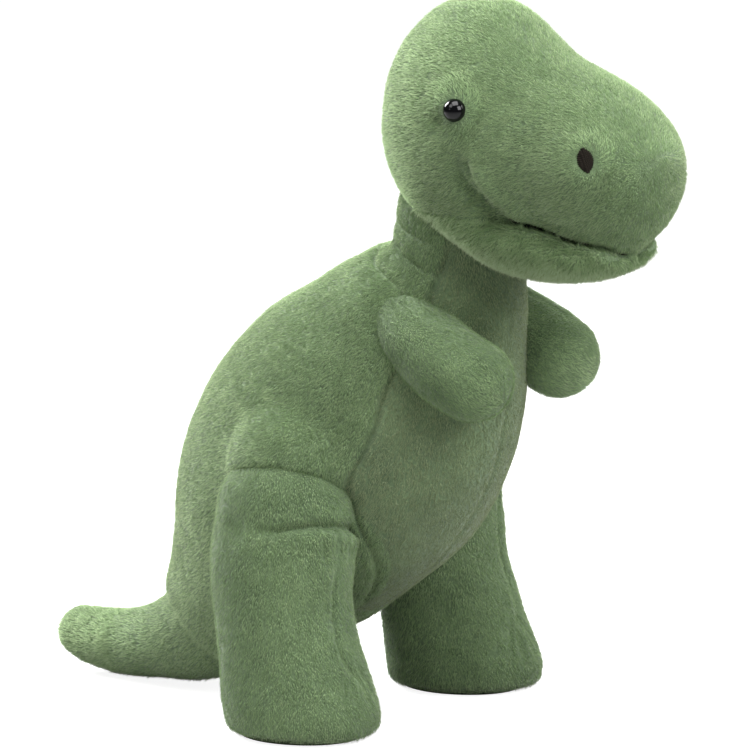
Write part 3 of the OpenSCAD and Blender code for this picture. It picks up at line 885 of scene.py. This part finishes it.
for side, label in ((1, "left"), (-1, "right")):
    mirror = [side, 1, 1]
    hip = np.array(HIP) * mirror
    # Thigh crease and shin seam, along which the pile is short and darkened as painted shade
    lines = [([p * mirror for p in THIGH_CREASE], 1.5 * MM), ([p * mirror for p in SHIN_SEAM], 1.0 * MM)]
    flow_leg = flow_to(hip + UP * 20 * MM, hip * [1.1, -3, 0])
    fur = pile(f"leg_{label}_pile", legs[side], flow_leg, 120 + side, 46000,
               keep=lambda c: c[:, 2] > 1.5 * MM, thin_shaded=lines)
    for piece in (legs[side], fur):
        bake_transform(piece)
    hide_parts(f"leg_outer_{label}", f"leg_inner_{label}", f"leg_filling_{label}")

    root, hand = np.array(ARM[0][:3]) * mirror, np.array(ARM[-1][:3]) * mirror
    fur = pile(f"arm_{label}_pile", arms[side], flow_to(root, hand), 130 + side, 22000)
    for piece in (arms[side], fur):
        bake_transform(piece)
    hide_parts(f"arm_outer_{label}", f"arm_inner_{label}", f"arm_filling_{label}")

flow_tail = flow_to(TAIL_JOINT, TAIL_BEND, TIP_JOINT, [0, TIP_END, TIP_JOINT[2] + 3 * MM])
tail_fur = pile("tail_pile", tail, flow_tail, 141, 36000)
tip_fur = pile("tail_tip_pile", tip, flow_tail, 142, 12000)
for piece in (tail, tail_fur):
    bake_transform(piece)
for piece in (tip, tip_fur):
    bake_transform(piece)
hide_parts("tail_panel_left", "tail_panel_right", "tail_filling")
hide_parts("tail_tip_skin", "tail_tip_filling")
for piece in (trunk, head, tail, tip, *legs.values(), *arms.values()):
    dress(piece, CLOTH)


# ---- Small parts ----

def glossy_eye():
    mat, _nodes, _links, shader = principled("eye_black")
    shader.inputs["Base Color"].default_value = (0.003, 0.003, 0.0035, 1)
    shader.inputs["Roughness"].default_value = 0.08
    shader.inputs["Specular IOR Level"].default_value = 0.3
    return mat


def thread_material(name, colour, scale):
    """Satin stitches side by side, darkened where they dip between stitches as painted shade."""
    mat, nodes, links, shader = principled(name)
    coord = nodes.new("ShaderNodeTexCoord")
    wave = nodes.new("ShaderNodeTexWave")
    wave.inputs["Scale"].default_value = scale
    wave.inputs["Distortion"].default_value = 1.5
    ramp = nodes.new("ShaderNodeValToRGB")
    # The low side of the wave, where the bump dips between stitches, is darkened: painted shade
    ramp.color_ramp.elements[0].color = (*[c * 0.4 for c in colour], 1)
    ramp.color_ramp.elements[1].color = (*colour, 1)
    links.new(coord.outputs["Object"], wave.inputs["Vector"])
    links.new(wave.outputs["Fac"], ramp.inputs["Fac"])
    links.new(ramp.outputs["Color"], shader.inputs["Base Color"])
    bump_node = nodes.new("ShaderNodeBump")
    bump_node.inputs["Strength"].default_value = 0.8
    bump_node.inputs["Distance"].default_value = 0.3 * MM
    links.new(wave.outputs["Fac"], bump_node.inputs["Height"])
    links.new(bump_node.outputs["Normal"], shader.inputs["Normal"])
    shader.inputs["Roughness"].default_value = 0.85
    shader.inputs["Specular IOR Level"].default_value = 0.15
    return mat


def plain_material(name, colour, roughness, scale):
    """Woven or moulded surface with a fine grain."""
    mat, nodes, links, shader = principled(name)
    coord = nodes.new("ShaderNodeTexCoord")
    grain = nodes.new("ShaderNodeTexNoise")
    grain.inputs["Scale"].default_value = scale
    ramp = nodes.new("ShaderNodeValToRGB")
    ramp.color_ramp.elements[0].color = (*[c * 0.75 for c in colour], 1)
    ramp.color_ramp.elements[1].color = (*colour, 1)
    links.new(coord.outputs["Object"], grain.inputs["Vector"])
    links.new(grain.outputs["Fac"], ramp.inputs["Fac"])
    links.new(ramp.outputs["Color"], shader.inputs["Base Color"])
    shader.inputs["Roughness"].default_value = roughness
    return mat


def tube(points, radius, sides=8):
    """Closed round tube through points, with rounded ends."""
    points = np.array(points)
    along = np.gradient(points, axis=0)
    along /= np.linalg.norm(along, axis=1)[:, None]
    rings = []
    for k, (p, t) in enumerate(zip(points, along)):
        u = np.cross(t, [0.3, 0.2, 1.0])
        u /= np.linalg.norm(u)
        v = np.cross(t, u)
        angles = np.linspace(0, 2 * math.pi, sides, endpoint=False)
        r = radius * (0.5 if k in (0, len(points) - 1) else 1.0)
        rings.append(p + r * (np.cos(angles)[:, None] * u + np.sin(angles)[:, None] * v))
    return loft_mesh(rings)


def joined(name, parts):
    """One object of several closed meshes."""
    verts, faces, base = [], [], 0
    for v, f in parts:
        verts.append(v)
        faces += [tuple(base + i for i in face) for face in f]
        base += len(v)
    obj = new_object(name, np.vstack(verts), faces)
    obj.data.polygons.foreach_set("use_smooth", np.ones(len(obj.data.polygons), bool))
    return obj


def nearest(co, no, point):
    k = int(np.argmin(((co - point) ** 2).sum(1)))
    return co[k], no[k]


def make_nostril(side):
    """Oval patch of satin stitches, sunk into the muzzle."""
    co, no = coords(head), normals(head)
    centre, n = nearest(co, no, NOSTRIL * [side, 1, 1])
    long_way = np.cross(n, np.cross(UP + mm(0, 300, 0), n))
    long_way /= np.linalg.norm(long_way)
    short_way = np.cross(n, long_way)
    parts = []
    half_long, half_short, thread = 4.4 * MM, 3.1 * MM, 0.42 * MM
    for k in np.linspace(-1, 1, 13):
        reach = half_short * math.sqrt(max(1 - k * k, 0.06))
        across = np.linspace(-1, 1, 9)
        line = [centre + long_way * k * half_long + short_way * reach * a + n * (0.5 + 0.9 * (1 - a * a)) * MM
                for a in across]
        parts.append(tube(line, thread))
    return joined("nostril_stitches_" + ("left" if side > 0 else "right"), parts)


def make_mouth_thread():
    """Thread drawn into the seam of the mouth, on both sides of the muzzle."""
    co = coords(head)
    parts = [tube(catmull(lip_line(co, side)[::2], 3), 0.6 * MM) for side in (1, -1)]
    return joined("mouth_thread", parts)


EYE_BLACK = glossy_eye()
NOSE_THREAD = thread_material("nostril_thread", (0.022, 0.017, 0.012), 700)
MOUTH_THREAD = thread_material("mouth_thread_material", (0.035, 0.045, 0.025), 500)
WASHER_WHITE = plain_material("washer_plastic", (0.75, 0.75, 0.73), 0.45, 300)
BAG_CLOTH = plain_material("pellet_bag_cloth", (0.62, 0.57, 0.47), 0.9, 1500)
SOLE_CLOTH = plain_material("sole_cloth_material", (0.17, 0.25, 0.12), 0.95, 900)
for node, mat in (
        ("eye_left", EYE_BLACK), ("eye_right", EYE_BLACK), ("eye_washer_left", WASHER_WHITE),
        ("eye_washer_right", WASHER_WHITE), ("body_pellet_bag", BAG_CLOTH),
        ("foot_pellet_bag_left", BAG_CLOTH), ("foot_pellet_bag_right", BAG_CLOTH)):
    mesh = frame["nodes"][node].data
    mesh.materials.clear()
    mesh.materials.append(mat)
for side, label in ((1, "left"), (-1, "right")):
    patch = make_nostril(side)
    patch.data.materials.append(NOSE_THREAD)
    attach(patch, "head")
    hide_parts(f"nostril_{label}")
    sole = make_sole(side)
    sole.data.materials.append(SOLE_CLOTH)
    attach(sole, f"leg_{label}")
    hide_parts(f"sole_{label}")
thread = make_mouth_thread()
thread.data.materials.append(MOUTH_THREAD)
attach(thread, "head")
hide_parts("mouth_stitching")

# ---- Stage, light and camera ----

GROUND = Vector((0.0, (SOLE_LOW.y + SOLE_HIGH.y) / 2, 0.0))
VIEW_AZIMUTH, VIEW_ELEVATION = math.radians(-57), math.radians(10.5)
FRAME_WIDTH = 0.2828
LENS = 800.0


def view_axes(azimuth, elevation):
    back = Vector((math.sin(azimuth) * math.cos(elevation), -math.cos(azimuth) * math.cos(elevation),
                   math.sin(elevation)))
    right = Vector((math.cos(azimuth), math.sin(azimuth), 0))
    return back, right, back.cross(right)


def camera():
    back, right, up = view_axes(VIEW_AZIMUTH, VIEW_ELEVATION)
    data = bpy.data.cameras.new("camera")
    data.lens = LENS
    data.sensor_width = 36.0
    cam = bpy.data.objects.new("camera", data)
    bpy.context.scene.collection.objects.link(cam)
    target = GROUND - right * 2.3 * MM + up * 126 * MM
    cam.location = target + back * (FRAME_WIDTH * LENS / data.sensor_width)
    cam.rotation_mode = "QUATERNION"
    cam.rotation_quaternion = (-back).to_track_quat("-Z", "Y")
    data.clip_end = 50
    bpy.context.scene.camera = cam


def softbox(name, azimuth, elevation, distance, size, power):
    """Square soft light that faces the middle of the toy."""
    back, _right, _up = view_axes(math.radians(azimuth), math.radians(elevation))
    data = bpy.data.lights.new(name, "AREA")
    data.size = size
    data.energy = power
    lamp = bpy.data.objects.new(name, data)
    bpy.context.scene.collection.objects.link(lamp)
    lamp.location = Vector((0, 0, 0.13)) + back * distance
    lamp.rotation_mode = "QUATERNION"
    lamp.rotation_quaternion = (-back).to_track_quat("-Z", "Y")


def stage():
    half = 3.0
    corners = [(-half, -half, 0), (half, -half, 0), (half, half, 0), (-half, half, 0)]
    floor = new_object("floor", corners, [(0, 1, 2, 3)])
    mat, nodes, links, shader = principled("floor_paper")
    shader.inputs["Base Color"].default_value = (0.5, 0.5, 0.5, 1)
    shader.inputs["Roughness"].default_value = 0.9
    # The paper looks evenly white but throws little light up on the toy
    glow = nodes.new("ShaderNodeEmission")
    seen, lit = nodes.new("ShaderNodeLightPath"), nodes.new("ShaderNodeMixShader")
    both_shaders = nodes.new("ShaderNodeAddShader")
    glow.inputs["Strength"].default_value = 0.9
    links.new(shader.outputs["BSDF"], both_shaders.inputs[0])
    links.new(glow.outputs["Emission"], both_shaders.inputs[1])
    links.new(seen.outputs["Is Camera Ray"], lit.inputs["Fac"])
    links.new(shader.outputs["BSDF"], lit.inputs[1])
    links.new(both_shaders.outputs["Shader"], lit.inputs[2])
    links.new(lit.outputs["Shader"], nodes["Material Output"].inputs["Surface"])
    floor.data.materials.append(mat)
    world = bpy.data.worlds.new("studio")
    world.use_nodes = True
    nodes, links = world.node_tree.nodes, world.node_tree.links
    backdrop, light = nodes["Background"], nodes.new("ShaderNodeBackground")
    backdrop.inputs["Color"].default_value = (1, 1, 1, 1)
    light.inputs["Color"].default_value = (1, 1, 1, 1)
    light.inputs["Strength"].default_value = 0.06
    seen, mix = nodes.new("ShaderNodeLightPath"), nodes.new("ShaderNodeMixShader")
    links.new(seen.outputs["Is Camera Ray"], mix.inputs["Fac"])
    links.new(light.outputs["Background"], mix.inputs[1])
    links.new(backdrop.outputs["Background"], mix.inputs[2])
    links.new(mix.outputs["Shader"], nodes["World Output"].inputs["Surface"])
    bpy.context.scene.world = world
    bpy.context.scene.view_settings.view_transform = "Standard"


# Name, azimuth and elevation in degrees, distance and size in metres, power in watts
LIGHTS = (
    ("top", -40, 78, 1.1, 0.8, 15.5),
    ("key", -105, 50, 1.0, 0.45, 3.0),
    ("front", -10, 30, 1.0, 0.5, 6.5),
    ("rim_back", 175, 35, 1.0, 0.5, 22.0),
    ("rim_front", 35, 28, 1.0, 0.4, 4.0),
)

stage()
camera()
for light in LIGHTS:
    softbox(*light)
